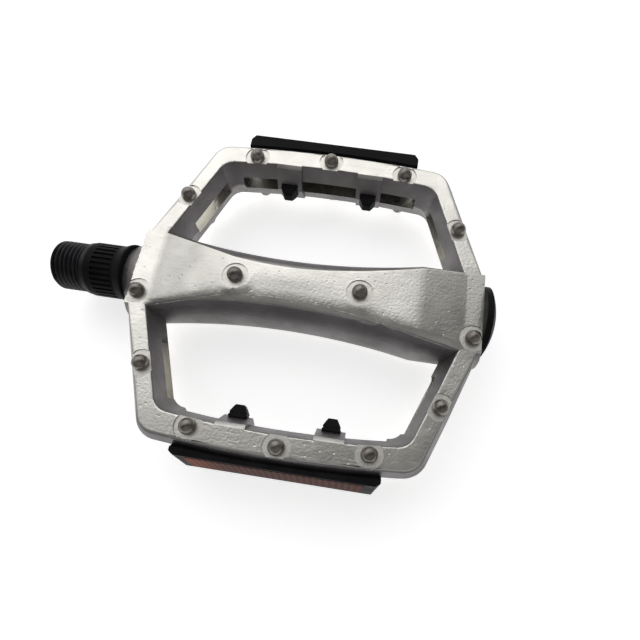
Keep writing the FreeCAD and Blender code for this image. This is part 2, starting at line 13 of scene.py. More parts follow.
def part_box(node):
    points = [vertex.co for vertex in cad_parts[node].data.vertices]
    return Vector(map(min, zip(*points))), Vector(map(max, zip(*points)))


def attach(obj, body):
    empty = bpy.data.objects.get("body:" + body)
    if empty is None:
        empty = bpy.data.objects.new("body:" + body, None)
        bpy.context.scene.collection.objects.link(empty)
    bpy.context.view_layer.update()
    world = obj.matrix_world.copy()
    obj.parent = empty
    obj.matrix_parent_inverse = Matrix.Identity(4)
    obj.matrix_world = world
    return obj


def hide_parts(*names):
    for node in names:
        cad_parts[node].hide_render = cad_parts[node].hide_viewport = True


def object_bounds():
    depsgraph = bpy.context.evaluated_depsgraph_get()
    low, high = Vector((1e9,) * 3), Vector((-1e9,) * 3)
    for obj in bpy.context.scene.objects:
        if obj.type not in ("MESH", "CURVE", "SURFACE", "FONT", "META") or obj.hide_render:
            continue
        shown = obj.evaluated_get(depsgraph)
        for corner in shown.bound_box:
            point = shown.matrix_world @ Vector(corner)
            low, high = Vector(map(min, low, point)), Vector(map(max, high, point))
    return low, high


MM = 0.001

# The photograph's viewpoint.
IMAGE_PIXELS = 640
FOCAL_PIXELS = 400
SENSOR_MM = 36
CAMERA_PLACE = (81.3 * MM, -48.3 * MM, 108.0 * MM)
CAMERA_RIGHT = (0.98856, 0.15081, 0.00304)
CAMERA_UP = (-0.14518, 0.94574, 0.29069)
CENTRE_PIXEL = (339.4, 355.6)
CLIP_START = 1 * MM

# The spindle in the CAD's sizes, with the thread's form added. TOOTH_RISE sets how wide the thread's
# flat crest is.
THREAD_RADIUS = 7.14 * MM
THREAD_PITCH = 1.27 * MM
THREAD_DEPTH = 0.72 * MM
THREAD_CHAMFER = 0.6 * MM
TOOTH_RISE = 1.25
HEX_ACROSS = 8.0 * MM
HEX_DEPTH = 6.0 * MM
COLLAR_RADIUS = 7.6 * MM
COLLAR_WIDTH = 1.2 * MM
SHANK_RADIUS = 5.0 * MM
JOURNAL_RADIUS = 3.0 * MM
ROUND_STEPS = 72
ROWS_PER_TURN = 14

# The washer's radius in the CAD, and how much smaller the scene makes it.
WASHER_RADIUS = 5.2 * MM
WASHER_GAP = 0.15 * MM

# The casting, in the CAD's sizes. The halves, flats and corners are measured from the cage's centre.
CENTRE_X = 65.1 * MM
HALF_HEIGHT = 7.0 * MM
END_HALF = 49.0 * MM
END_FLAT = 9.5 * MM
CORNER_X = 35.3 * MM
FRONT_Y = 45.0 * MM
FRONT_BOW = 1.7 * MM
FRONT_RAIL = 6.0 * MM
CORNER_ROUND = 6.0 * MM
HUB_X = 12.6 * MM
HUB_FLARE = 5.2 * MM
CAGE_LEFT = 16.1 * MM
RAMP_LEFT = 21.1 * MM
CREST_LEFT = 43.0 * MM
CREST_RIGHT = 96.5 * MM
RAMP_RIGHT = 109.1 * MM
CREST_HEIGHT = 9.2 * MM
SHOULDER_RADIUS = 13.6 * MM
WAIST_RADIUS = 10.2 * MM
BARREL_STUDS = (45.2 * MM, 79.8 * MM)
SPOT_DEPTH = 0.25 * MM
BOSS_HALF = 3.9 * MM
BOSS_PROUD = 1.3 * MM

# What the scene adds to the casting: outer walls that lean out below both faces, tipped lands at the prongs,
# a soft front crest that keeps clear of the studs' spot faces, and a round hub.
WALL_SKIN = 0.75 * MM
TOP_SHIFT = -0.5 * MM
WALL_LEAN = 1.5 * MM
LEAN_DEPTH = 2.6 * MM
LAND_DROP = 0.6 * MM
CREST_SOFTNESS = 2.6 * MM
CREST_SIDE = 2.0 * MM
CREST_END = 4.0 * MM
SPOT_RADIUS = 3.8 * MM
SPOT_FADE = 1.6
HUB_RISE = 6.6 * MM
HUB_STEP = 0.35 * MM
HUB_TOP = 0.95
SLICE_X = 1.5 * MM
SLICE_Y = 0.75 * MM
WELD = 0.001 * MM
SPOT_TOUCH = 5 * WELD
FLAT_NORMAL = 0.98
QUAD = 4
SHARP_TURN = math.radians(14)

# The reflectors. Their top and foot are measured outwards from the wall's furthest point.
REFLECTOR_HALF = 26.7 * MM
REFLECTOR_Z = 5.8 * MM
REFLECTOR_BACK = 4.2 * MM
REFLECTOR_SLOPE = 0.8 * MM
REFLECTOR_TOP = 2.5 * MM
REFLECTOR_FOOT = 4.8 * MM
REFLECTOR_SINK = -0.8 * MM
REFLECTOR_STEP = 1.2 * MM
END_LENGTH = 1.3 * MM
END_PINCH = 0.35
HOUSING_EDGE = 0.35 * MM
LENS_HALF = 22.9 * MM
LENS_BORDER = 0.09
LENS_PROUD = 0.12 * MM
LENS_BACK = 0.8 * MM
LENS_EDGE = 0.12 * MM
BEVEL_STEPS = 3
PRONG_X = 12.6 * MM
# Each section of a prong: its distance from the spindle, half width and half height, in millimetres.
PRONG_SECTIONS = [
    (48.0, 2.2, 1.7), (37.3, 2.2, 1.7), (37.2, 2.6, 1.9), (36.6, 2.55, 1.85), (36.5, 2.3, 1.7),
    (36.1, 2.3, 1.7), (36.0, 2.45, 1.75), (34.6, 1.7, 1.5), (33.8, 1.2, 1.2),
]

# Noise patterns, as scale and detail, and the ends over which a tone follows a pattern.
NOISE_ROUGHNESS = 0.55
NOISE_ENDS = (0.3, 0.7)
DARK_ENDS = (0.3, 0.75)
TONE_NOISE = (90.0, 4.0)
PATCH_NOISE = (160.0, 4.0)
GRAIN_NOISE = (1300.0, 2.0)
SWELL_NOISE = (260.0, 2.0)
FINE_DETAIL = 2.0

# The casting's surface. Bumps are a strength and a depth.
FACE_NORMALS = (0.80, 0.97)
# Where along the cage the barrel's ramps are darkened as painted shade.
RAMP_SHADE_STOPS = [
    (0.05, 0.0), (0.07, 1.0), (0.22, 0.8), (0.30, 0.0), (0.76, 0.0), (0.82, 0.4), (0.96, 0.4),
]
# The polish kept in the hub's flare; the dark colour it gives there is a painted reflection.
HUB_POLISH_AND_SHADE = 0.2
PIT_SCALE = 420.0
PIT_SIZE = 0.16
SCRATCH_SCALE = (60.0, 2600.0, 60.0)
SCRATCH_ENDS = (0.66, 0.74)
SCRATCH_TURNS = (0.5, -0.9)
SWELL_BUMP = (0.08, 0.4 * MM)
GRAIN_BUMP = (0.50, 0.12 * MM)
PIT_BUMP = (0.50, 0.15 * MM)
SCRATCH_BUMP = (0.25, 0.06 * MM)

# The lens's rows of prisms, and the length of the painted glint at one end of it.
ROW_SCALE = 190.0
ROW_ENDS = (0.25, 0.8)
LENS_GLINT = 9.0 * MM

# The stage and the light.
WHITE = (1.0, 1.0, 1.0, 1.0)
FLOOR_COLOUR = (0.9, 0.9, 0.9, 1.0)
FLOOR_ROUGHNESS = 0.9
FLOOR_SIZE = 6.0
FLOOR_LIFT = 0.66
BRIGHT_SIDE = (-0.5, 0.87, 0.0)
SKY_STOPS = [(0.05, 0.40), (0.35, 0.25), (0.47, 0.07), (0.55, 0.12), (0.63, 0.54), (0.72, 0.76)]
HORIZON_STOPS = [(0.3, 0.2), (0.75, 0.5)]
HORIZON_ENDS = [(0.15, 0.0), (0.5, 1.0)]
LAMP_PLACE = (-0.3, 0.75, 0.75)
LAMP_SIZE = (1.3, 1.0)
LAMP_POWER = 2.3


def new_material(name):
    """A new material with its nodes, links and shader."""
    material = bpy.data.materials.new(name)
    material.use_nodes = True
    nodes = material.node_tree.nodes
    return material, nodes, material.node_tree.links, nodes["Principled BSDF"]


def add(nodes, kind, **settings):
    """Adds a shader node and sets its properties or its inputs."""
    node = nodes.new(kind)
    for key, setting in settings.items():
        if key in node.inputs:
            node.inputs[key].default_value = setting
        else:
            setattr(node, key, setting)
    return node


def ramp(nodes, links, value, stops):
    """The colour that a value picks from (place, colour) stops, where a grey is one number."""
    node = nodes.new("ShaderNodeValToRGB")
    band = node.color_ramp
    while len(band.elements) < len(stops):
        band.elements.new(0.5)
    for element, (place, colour) in zip(band.elements, stops):
        element.position = place
        element.color = (colour, colour, colour, 1) if isinstance(colour, float) else (*colour, 1)
    links.new(value, node.inputs["Fac"])
    return node.outputs["Color"]


def spread(nodes, links, pattern, low, high, ends=NOISE_ENDS):
    """A colour or grey that goes from low to high with a pattern."""
    return ramp(nodes, links, pattern, list(zip(ends, (low, high))))


def noise(nodes, links, scale, detail):
    """A noise pattern in the part's frame."""
    place = nodes.new("ShaderNodeTexCoord")
    pattern = add(nodes, "ShaderNodeTexNoise", Scale=scale, Detail=detail, Roughness=NOISE_ROUGHNESS)
    links.new(place.outputs["Object"], pattern.inputs["Vector"])
    return pattern.outputs["Fac"]


def bump_chain(nodes, links, shader, layers):
    """Stacks height patterns, as (height, (strength, depth)), into the shader's normal."""
    before = None
    for height, (strength, depth) in layers:
        bump = add(nodes, "ShaderNodeBump", Strength=strength, Distance=depth)
        links.new(height, bump.inputs["Height"])
        if before:
            links.new(before.outputs["Normal"], bump.inputs["Normal"])
        before = bump
    links.new(before.outputs["Normal"], shader.inputs["Normal"])


def parts_of(nodes, links, coordinate):
    """The X, Y and Z of a texture coordinate."""
    place = nodes.new("ShaderNodeTexCoord")
    split = nodes.new("ShaderNodeSeparateXYZ")
    links.new(place.outputs[coordinate], split.inputs["Vector"])
    return split.outputs


def between(nodes, links, value, low, high, start=0.0):
    """Goes from start to one as a value goes from low to high."""
    node = nodes.new("ShaderNodeMapRange")
    node.inputs["From Min"].default_value = low
    node.inputs["From Max"].default_value = high
    node.inputs["To Min"].default_value = start
    links.new(value, node.inputs["Value"])
    return node.outputs["Result"]


def size_of(nodes, links, value):
    """A value without its sign."""
    node = add(nodes, "ShaderNodeMath", operation="ABSOLUTE")
    links.new(value, node.inputs[0])
    return node.outputs["Value"]


def combine(nodes, links, operation, first, second):
    """A math operation on two values."""
    node = add(nodes, "ShaderNodeMath", operation=operation)
    links.new(first, node.inputs[0])
    links.new(second, node.inputs[1])
    return node.outputs["Value"]


def mix_colour(nodes, links, factor, first, second):
    """Mixes two colours by a factor."""
    mix = add(nodes, "ShaderNodeMix", data_type="RGBA")
    links.new(factor, mix.inputs["Factor"])
    links.new(first, mix.inputs["A"])
    links.new(second, mix.inputs["B"])
    return mix.outputs["Result"]


def face_polish_and_shade_mask(nodes, links):
    """One on faces that look up or down, none on walls, from the piece's own normals; it sets the polish, and
    darkens the walls as painted shade.
    """
    steep = size_of(nodes, links, parts_of(nodes, links, "Normal")["Z"])
    return spread(nodes, links, steep, 0.0, 1.0, FACE_NORMALS)


def polish_and_shade_mask(nodes, links):
    """One on the polished faces and less in the hub's flare; it sets the polish, and its low value in the
    flare is a painted dark reflection there.
    """
    along = parts_of(nodes, links, "Object")["X"]
    # Less polish in the hub's flare paints a dark reflection there.
    reach = between(nodes, links, along, CAGE_LEFT - HUB_STEP, CAGE_LEFT, HUB_POLISH_AND_SHADE)
    return combine(nodes, links, "MULTIPLY", reach, face_polish_and_shade_mask(nodes, links))


def ramp_shade_mask(nodes, links):
    """One on the barrel's two ramps, which are darkened as painted shade."""
    place = parts_of(nodes, links, "Object")
    along = between(nodes, links, place["X"], CAGE_LEFT, CENTRE_X + END_HALF)
    ramps = ramp(nodes, links, along, RAMP_SHADE_STOPS)
    within = add(nodes, "ShaderNodeMath", operation="LESS_THAN")
    links.new(size_of(nodes, links, place["Y"]), within.inputs[0])
    within.inputs[1].default_value = SHOULDER_RADIUS
    return combine(nodes, links, "MULTIPLY", ramps, within.outputs["Value"])


def scratches(nodes, links, turn):
    """Thin straight marks in one direction."""
    place = nodes.new("ShaderNodeTexCoord")
    stretch = nodes.new("ShaderNodeMapping")
    stretch.inputs["Rotation"].default_value = (0.0, 0.0, turn)
    stretch.inputs["Scale"].default_value = SCRATCH_SCALE
    links.new(place.outputs["Object"], stretch.inputs["Vector"])
    lines = add(nodes, "ShaderNodeTexNoise", Scale=1.0, Detail=FINE_DETAIL)
    links.new(stretch.outputs["Vector"], lines.inputs["Vector"])
    return spread(nodes, links, lines.outputs["Fac"], 1.0, 0.0, SCRATCH_ENDS)


def pits(nodes, links):
    """Small round pits, scattered in cells."""
    place = nodes.new("ShaderNodeTexCoord")
    cells = add(nodes, "ShaderNodeTexVoronoi", Scale=PIT_SCALE)
    links.new(place.outputs["Object"], cells.inputs["Vector"])
    return spread(nodes, links, cells.outputs["Distance"], 0.0, 1.0, (0.0, PIT_SIZE))


def cast_aluminium():
    """A casting with bright polished faces, walls darkened as cast skin and painted shade, ramps darkened as
    painted shade, a painted dark reflection in the hub's flare, and cut spot faces.
    """
    material, nodes, links, shader = new_material("cast_aluminium")
    shader.inputs["Metallic"].default_value = 1.0
    polish_and_shade = polish_and_shade_mask(nodes, links)
    spot = add(nodes, "ShaderNodeAttribute", attribute_name="spot").outputs["Fac"]
    tone = noise(nodes, links, *TONE_NOISE)
    polished = spread(nodes, links, tone, (0.74, 0.725, 0.67), (0.89, 0.875, 0.82))
    # The walls' colour is a darker cast skin and also painted shade.
    skin_and_shade = spread(nodes, links, tone, (0.19, 0.178, 0.18), (0.29, 0.275, 0.28))
    # Painted shade for the barrel's ramps.
    ramp_shade = spread(nodes, links, tone, (0.45, 0.44, 0.41), (0.58, 0.57, 0.53))
    cut = spread(nodes, links, tone, (0.84, 0.82, 0.76), (0.92, 0.90, 0.84))
    bright = mix_colour(nodes, links, ramp_shade_mask(nodes, links), polished, ramp_shade)
    colour = mix_colour(nodes, links, polish_and_shade, skin_and_shade, bright)
    links.new(mix_colour(nodes, links, spot, colour, cut), shader.inputs["Base Color"])
    patches = noise(nodes, links, *PATCH_NOISE)
    gloss = spread(nodes, links, patches, 0.26, 0.40)
    dull = spread(nodes, links, patches, 0.42, 0.58)
    rough = mix_colour(nodes, links, polish_and_shade, dull, gloss)
    links.new(mix_colour(nodes, links, spot, rough, dull), shader.inputs["Roughness"])
    layers = [
        (noise(nodes, links, *SWELL_NOISE), SWELL_BUMP),
        (noise(nodes, links, *GRAIN_NOISE), GRAIN_BUMP),
        (pits(nodes, links), PIT_BUMP),
    ]
    layers += [(scratches(nodes, links, turn), SCRATCH_BUMP) for turn in SCRATCH_TURNS]
    bump_chain(nodes, links, shader, layers)
    return material


def amber_lens():
    """Amber reflector plastic with rows of prisms behind its face, and a painted glint at one end."""
    material, nodes, links, shader = new_material("amber_lens")
    place = nodes.new("ShaderNodeTexCoord")
    wave = add(nodes, "ShaderNodeTexWave", Scale=ROW_SCALE, bands_direction="X")
    links.new(place.outputs["Object"], wave.inputs["Vector"])
    rows = wave.outputs["Fac"]
    tint = spread(nodes, links, rows, (0.07, 0.015, 0.008), (0.17, 0.034, 0.012), ROW_ENDS)
    # A brighter amber painted at one end of the lens as a glint.
    painted_glint = spread(nodes, links, rows, (0.30, 0.058, 0.014), (0.46, 0.10, 0.022), ROW_ENDS)
    start = CENTRE_X - LENS_HALF
    along = parts_of(nodes, links, "Object")["X"]
    share = between(nodes, links, along, start, start + LENS_GLINT)
    links.new(mix_colour(nodes, links, share, painted_glint, tint), shader.inputs["Base Color"])
    shader.inputs["Roughness"].default_value = 0.35
    shader.inputs["Specular IOR Level"].default_value = 0.01
    return material


def grained(name, tone, low, high, gloss, metallic, ends=NOISE_ENDS, grain=None):
    """A material whose tint and gloss follow one noise pattern, with a fine grain if there is one."""
    material, nodes, links, shader = new_material(name)
    shader.inputs["Metallic"].default_value = metallic
    pattern = noise(nodes, links, *tone)
    links.new(spread(nodes, links, pattern, low, high, ends), shader.inputs["Base Color"])
    links.new(spread(nodes, links, pattern, *gloss), shader.inputs["Roughness"])
    if grain:
        scale, bump = grain
        bump_chain(nodes, links, shader, [(noise(nodes, links, scale, FINE_DETAIL), bump)])
    return material


def black_resin(name):
    """Moulded black resin or rubber with a fine matt grain."""
    material = grained(
        name, tone=(220.0, 3.0), low=(0.008, 0.008, 0.009), high=(0.018, 0.018, 0.020), gloss=(0.42, 0.58),
        metallic=0.0, ends=DARK_ENDS, grain=(2600.0, (0.2, 0.05 * MM)))
    shader = material.node_tree.nodes["Principled BSDF"]
    shader.inputs["Specular IOR Level"].default_value = 0.05
    return material


def all_materials():
    """One material for each of the record's slots."""
    return {
        "cast_aluminium": cast_aluminium(),
        "black_steel": grained(
            "black_steel", tone=(300.0, 4.0), low=(0.010, 0.010, 0.012), high=(0.035, 0.035, 0.04),
            gloss=(0.34, 0.5), metallic=0.6, ends=DARK_ENDS, grain=(2200.0, (0.15, 0.06 * MM))),
        "black_resin": black_resin("black_resin"),
        "seal_rubber": black_resin("seal_rubber"),
        "bush_bronze": grained(
            "bush_bronze", tone=(500.0, 3.0), low=(0.40, 0.27, 0.13), high=(0.58, 0.42, 0.22),
            gloss=(0.30, 0.42), metallic=1.0),
        "bearing_steel": grained(
            "bearing_steel", tone=(500.0, 3.0), low=(0.5, 0.5, 0.5), high=(0.66, 0.66, 0.65),
            gloss=(0.18, 0.30), metallic=1.0),
        "stud_steel": grained(
            "stud_steel", tone=(700.0, 4.0), low=(0.15, 0.135, 0.12), high=(0.33, 0.305, 0.28),
            gloss=(0.24, 0.40), metallic=1.0, grain=(1800.0, (0.25, 0.08 * MM))),
        "amber_lens": amber_lens(),
    }


def dress_nodes(frame, materials):
    """Gives each CAD node the material of its slot."""
    for part in frame["record"]["subparts"]:
        node = frame["nodes"][part["node"]]
        node.data.materials.clear()
        node.data.materials.append(materials[part["material_slot"]])


def finish_mesh(name, mesh, material):
    """Turns a bmesh into a scene object with its material."""
    data = bpy.data.meshes.new(name)
    mesh.to_mesh(data)
    mesh.free()
    data.materials.append(material)
    piece = bpy.data.objects.new(name, data)
    bpy.context.collection.objects.link(piece)
    return piece


def smooth_by_angle(piece):
    """Smooth shading, with edges kept where the surface turns sharply."""
    for stored in [item for item in piece.data.attributes if item.name == "custom_normal"]:
        piece.data.attributes.remove(stored)
    piece.data.polygons.foreach_set("use_smooth", [True] * len(piece.data.polygons))
    piece.data.set_sharp_from_angle(angle=SHARP_TURN)


def add_bevel(piece, width):
    """Rounds a piece's edges a little."""
    bevel = piece.modifiers.new("edges", "BEVEL")
    bevel.width = width
    bevel.segments = BEVEL_STEPS
    bevel.limit_method = "ANGLE"
    bevel.harden_normals = True


def steps(first, last, spacing):
    """Places from first to last, about a spacing apart."""
    count = max(1, round((last - first) / spacing))
    return [first + (last - first) * number / count for number in range(count + 1)]


def smooth_step(low, high, place):
    """Goes smoothly from none at low to one at high."""
    share = min(1.0, max(0.0, (place - low) / (high - low)))
    return share * share * (3 - 2 * share)


def ring(mesh, x, radii):
    """A ring of vertices at one X, with a radius for each step round."""
    verts = []
    for step, radius in enumerate(radii):
        turn = 2 * math.pi * step / len(radii)
        verts.append(mesh.verts.new((x, radius * math.cos(turn), radius * math.sin(turn))))
    return verts


def bridge(mesh, first, second):
    """Quads between two rings of as many vertices."""
    count = len(first)
    for step in range(count):
        after = (step + 1) % count
        mesh.faces.new((first[step], first[after], second[after], second[step]))


def loft(mesh, sections):
    """A closed skin over sections of as many corners, with a face at each end."""
    loops = [[mesh.verts.new(corner) for corner in section] for section in sections]
    for first, second in zip(loops, loops[1:]):
        bridge(mesh, first, second)
    mesh.faces.new(reversed(loops[0]))
    mesh.faces.new(loops[-1])


def hex_radius(turn):
    """The hex socket's radius in a direction."""
    sector = math.pi / 3
    off = (turn + sector / 2) % sector - sector / 2
    return HEX_ACROSS / 2 / math.cos(off)


def thread_radius(x, turn, tip):
    """The thread's radius at a place, with a lead at the tip."""
    phase = (x / THREAD_PITCH - turn / (2 * math.pi)) % 1.0
    tooth = min(1.0, TOOTH_RISE * abs(2 * phase - 1))
    radius = THREAD_RADIUS - THREAD_DEPTH * (1 - tooth)
    lead = THREAD_RADIUS - THREAD_CHAMFER + (x - tip)
    return min(radius, max(lead, THREAD_RADIUS - THREAD_DEPTH - THREAD_CHAMFER))


def make_spindle(material):
    """The spindle with its thread, hex socket, collar, shank and journal."""
    low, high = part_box("spindle")
    tip = low[0]
    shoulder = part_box("bearing_inner_ring")[0][0]
    turns = [2 * math.pi * step / ROUND_STEPS for step in range(ROUND_STEPS)]
    mesh = bmesh.new()
    socket_floor = ring(mesh, tip + HEX_DEPTH, [hex_radius(turn) for turn in turns])
    mesh.faces.new(socket_floor)
    socket_lip = ring(mesh, tip, [hex_radius(turn) for turn in turns])
    bridge(mesh, socket_floor, socket_lip)
    before = ring(mesh, tip, [THREAD_RADIUS - THREAD_DEPTH - THREAD_CHAMFER] * ROUND_STEPS)
    bridge(mesh, socket_lip, before)
    rows = int(-tip / THREAD_PITCH * ROWS_PER_TURN)
    for row in range(1, rows + 1):
        x = tip * (1 - row / rows)
        here = ring(mesh, x, [thread_radius(x, turn, tip) for turn in turns])
        bridge(mesh, before, here)
        before = here
    profile = [
        (0.0, COLLAR_RADIUS), (COLLAR_WIDTH, COLLAR_RADIUS), (COLLAR_WIDTH, SHANK_RADIUS),
        (shoulder, SHANK_RADIUS), (shoulder, JOURNAL_RADIUS), (high[0], JOURNAL_RADIUS),
    ]
    for x, radius in profile:
        here = ring(mesh, x, [radius] * ROUND_STEPS)
        bridge(mesh, before, here)
        before = here
    mesh.faces.new(before)
    bmesh.ops.recalc_face_normals(mesh, faces=mesh.faces)
    piece = finish_mesh("threaded_spindle", mesh, material)
    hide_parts("spindle")
    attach(piece, "spindle_unit")


def slice_faces(mesh, chosen, axis, places):
    """Cuts the faces that the test picks with planes across an axis."""
    for place in places:
        faces = [face for face in mesh.faces if chosen(face)]
        edges = {edge for face in faces for edge in face.edges}
        verts = {vert for face in faces for vert in face.verts}
        bmesh.ops.bisect_plane(mesh, geom=faces + list(edges) + list(verts), dist=WELD / 10,
                               plane_co=Vector(axis) * place, plane_no=axis)


def bow_at(offset):
    """How far the front wall bows out, at an offset from the cage's centre."""
    return FRONT_BOW * (1 - (offset / CORNER_X) ** 2)


def wall_depth(x, y):
    """A point's depth inside the cage's outer wall in plan, and the wall's outward direction."""
    across = abs(x - CENTRE_X)
    away = abs(y)
    signs = Vector((math.copysign(1, x - CENTRE_X), math.copysign(1, y)))
    slant = Vector((FRONT_Y - END_FLAT, END_HALF - CORNER_X)).normalized()
    reach = slant.dot((END_HALF, END_FLAT))
    middle_y = FRONT_Y - CORNER_ROUND
    middle = Vector(((reach - CORNER_ROUND - slant.y * middle_y) / slant.x, middle_y))
    off = Vector((across, away)) - middle
    if off.x > 0 and off.dot((slant.y, -slant.x)) < 0:
        depth, normal = CORNER_ROUND - off.length, off.normalized()
    else:
        front = FRONT_Y + bow_at(across) - away
        side = reach - slant.dot((across, away))
        depth, normal = (front, Vector((0, 1))) if front < side else (side, slant)
    return depth, Vector((normal.x * signs.x, normal.y * signs.y, 0))


def lean_walls(mesh):
    """Leans the outer walls out below both faces."""
    level = HALF_HEIGHT - LEAN_DEPTH
    slice_faces(mesh, lambda face: True, (0, 0, 1), [-level, level])
    for vert in mesh.verts:
        depth, normal = wall_depth(vert.co.x, vert.co.y)
        if depth < WALL_SKIN and abs(vert.co.z) < HALF_HEIGHT + WELD:
            held = smooth_step(END_FLAT, 2 * END_FLAT, abs(vert.co.y))
            share = min(1.0, (HALF_HEIGHT - abs(vert.co.z)) / LEAN_DEPTH)
            vert.co += normal * held * (TOP_SHIFT + WALL_LEAN * share)


def crest_at(x):
    """The height of the barrel's crest or ramp."""
    left = (x - RAMP_LEFT) / (CREST_LEFT - RAMP_LEFT)
    right = (RAMP_RIGHT - x) / (RAMP_RIGHT - CREST_RIGHT)
    return HALF_HEIGHT + (CREST_HEIGHT - HALF_HEIGHT) * min(1.0, left, right)


def barrel_radius(x):
    """The barrel's radius, which narrows to a waist."""
    half = (CREST_RIGHT - RAMP_LEFT) / 2
    sag = SHOULDER_RADIUS - WAIST_RADIUS
    sweep = (half ** 2 + sag ** 2) / (2 * sag)
    off = min(half, abs(x - RAMP_LEFT - half))
    return WAIST_RADIUS + sweep - math.sqrt(sweep ** 2 - off ** 2)


def soften_crest(mesh):
    """Rolls the crest off softly to the front on top, and to the rear below."""
    def on_barrel(face):
        middle = face.calc_center_median()
        inside = RAMP_LEFT - WELD < middle.x < RAMP_RIGHT + WELD
        return inside and abs(middle.z) > HALF_HEIGHT / 2 and abs(middle.y) < SHOULDER_RADIUS
    slice_faces(mesh, on_barrel, (1, 0, 0), steps(RAMP_LEFT, RAMP_RIGHT, SLICE_X))
    slice_faces(mesh, on_barrel, (0, 1, 0), steps(-SHOULDER_RADIUS, SHOULDER_RADIUS, SLICE_Y))
    for vert in mesh.verts:
        x, y, z = vert.co
        radius = barrel_radius(x)
        if not RAMP_LEFT < x < RAMP_RIGHT or abs(z) < HALF_HEIGHT / 2 or abs(y) >= radius:
            continue
        side = math.copysign(1, z)
        gap = abs(crest_at(x) - math.sqrt(radius ** 2 - y ** 2))
        reach = max(0.0, 1 - gap / CREST_SOFTNESS)
        held = smooth_step(-CREST_SIDE, CREST_SIDE, -y * side)
        held *= smooth_step(0.0, CREST_END, min(x - RAMP_LEFT, RAMP_RIGHT - x))
        for stud_x in BARREL_STUDS:
            held *= smooth_step(SPOT_RADIUS, SPOT_FADE * SPOT_RADIUS, math.hypot(x - stud_x, y))
        vert.co.z -= side * held * reach ** 2 * CREST_SOFTNESS / 4


def round_hub(mesh):
    """Rounds the hub down from the rail to its mouth."""
    def on_hub(face):
        near = min(vert.co.x for vert in face.verts) < CAGE_LEFT - WELD
        return near and abs(face.calc_center_median().z) > HUB_TOP * HALF_HEIGHT
    step_x = CAGE_LEFT - HUB_STEP
    slice_faces(mesh, on_hub, (1, 0, 0), [CAGE_LEFT] + steps(HUB_X, step_x, HUB_STEP))
    slice_faces(mesh, on_hub, (0, 1, 0), steps(-SHOULDER_RADIUS, SHOULDER_RADIUS, SLICE_Y))
    for vert in mesh.verts:
        x, y, z = vert.co
        if x > step_x + WELD:
            continue
        off = x - CAGE_LEFT + HUB_FLARE
        width = SHOULDER_RADIUS - math.sqrt(max(0.0, HUB_FLARE ** 2 - off ** 2))
        share = (x - HUB_X) / (CAGE_LEFT - HUB_X)
        height = HUB_RISE + (HALF_HEIGHT - HUB_RISE) * share ** 2
        level = height * math.sqrt(max(0.0, 1 - (y / width) ** 2))
        vert.co.z = math.copysign(min(abs(z), level), z)


def tip_lands(mesh):
    """Tips the tops of the prongs' bosses down toward the barrel."""
    def on_top(face):
        return abs(face.calc_center_median().z) > HALF_HEIGHT - LAND_DROP
    edge = FRONT_Y - FRONT_RAIL + bow_at(PRONG_X)
    slice_faces(mesh, on_top, (0, 1, 0), [-edge, edge])
    for vert in mesh.verts:
        x, y, z = vert.co
        on_boss = abs(abs(x - CENTRE_X) - PRONG_X) < BOSS_HALF + WELD
        share = (edge - abs(y)) / BOSS_PROUD
        if on_boss and 0 < share < 2 and abs(z) > HALF_HEIGHT - LAND_DROP:
            vert.co.z = z - math.copysign(LAND_DROP * min(1.0, share), z)


def mark_spots(mesh):
    """Marks the studs' cut spot faces for the material."""
    mark = mesh.faces.layers.float.new("spot")
    mesh.normal_update()
    for face in mesh.faces:
        middle = face.calc_center_median()
        level = abs(middle.z) + SPOT_DEPTH
        on_rail = abs(level - HALF_HEIGHT) < SPOT_TOUCH
        on_crest = min(math.hypot(middle.x - x, middle.y) for x in BARREL_STUDS) < SPOT_RADIUS
        if abs(face.normal.z) > FLAT_NORMAL and (on_rail or (on_crest and level > HALF_HEIGHT)):
            face[mark] = 1.0


def make_casting(node, material):
    """The cage and barrel with leaning outer walls, a soft crest, a round hub and tipped lands."""
    mesh = bmesh.new()
    mesh.from_mesh(node.data)
    bmesh.ops.remove_doubles(mesh, verts=mesh.verts, dist=WELD)
    lean_walls(mesh)
    soften_crest(mesh)
    round_hub(mesh)
    tip_lands(mesh)
    mark_spots(mesh)
    bmesh.ops.triangulate(mesh, faces=[face for face in mesh.faces if len(face.verts) > QUAD])
    piece = finish_mesh("platform_casting", mesh, material)
    smooth_by_angle(piece)
    flats = piece.modifiers.new("flats", "WEIGHTED_NORMAL")
    flats.keep_sharp = True
    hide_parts("platform_body")
    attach(piece, "platform")


def make_washer(node, material):
    """The keyed washer, a little smaller than the bearing's bore so that it turns clear of the outer ring."""
    mesh = bmesh.new()
    mesh.from_mesh(node.data)
    for vert in mesh.verts:
        if math.hypot(vert.co.y, vert.co.z) > WASHER_RADIUS - WASHER_GAP:
            vert.co.y *= 1 - WASHER_GAP / WASHER_RADIUS
            vert.co.z *= 1 - WASHER_GAP / WASHER_RADIUS
    piece = finish_mesh("clear_washer", mesh, material)
    smooth_by_angle(piece)
    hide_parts("keyed_washer")
    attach(piece, "spindle_unit")


def turn_to_rear(mesh, rear):
    """Turns a front piece about the spindle to the rear."""
    if rear:
        turn = Matrix.Rotation(math.pi, 3, "X")
        bmesh.ops.rotate(mesh, verts=mesh.verts, cent=(0, 0, 0), matrix=turn)
    bmesh.ops.recalc_face_normals(mesh, faces=mesh.faces)


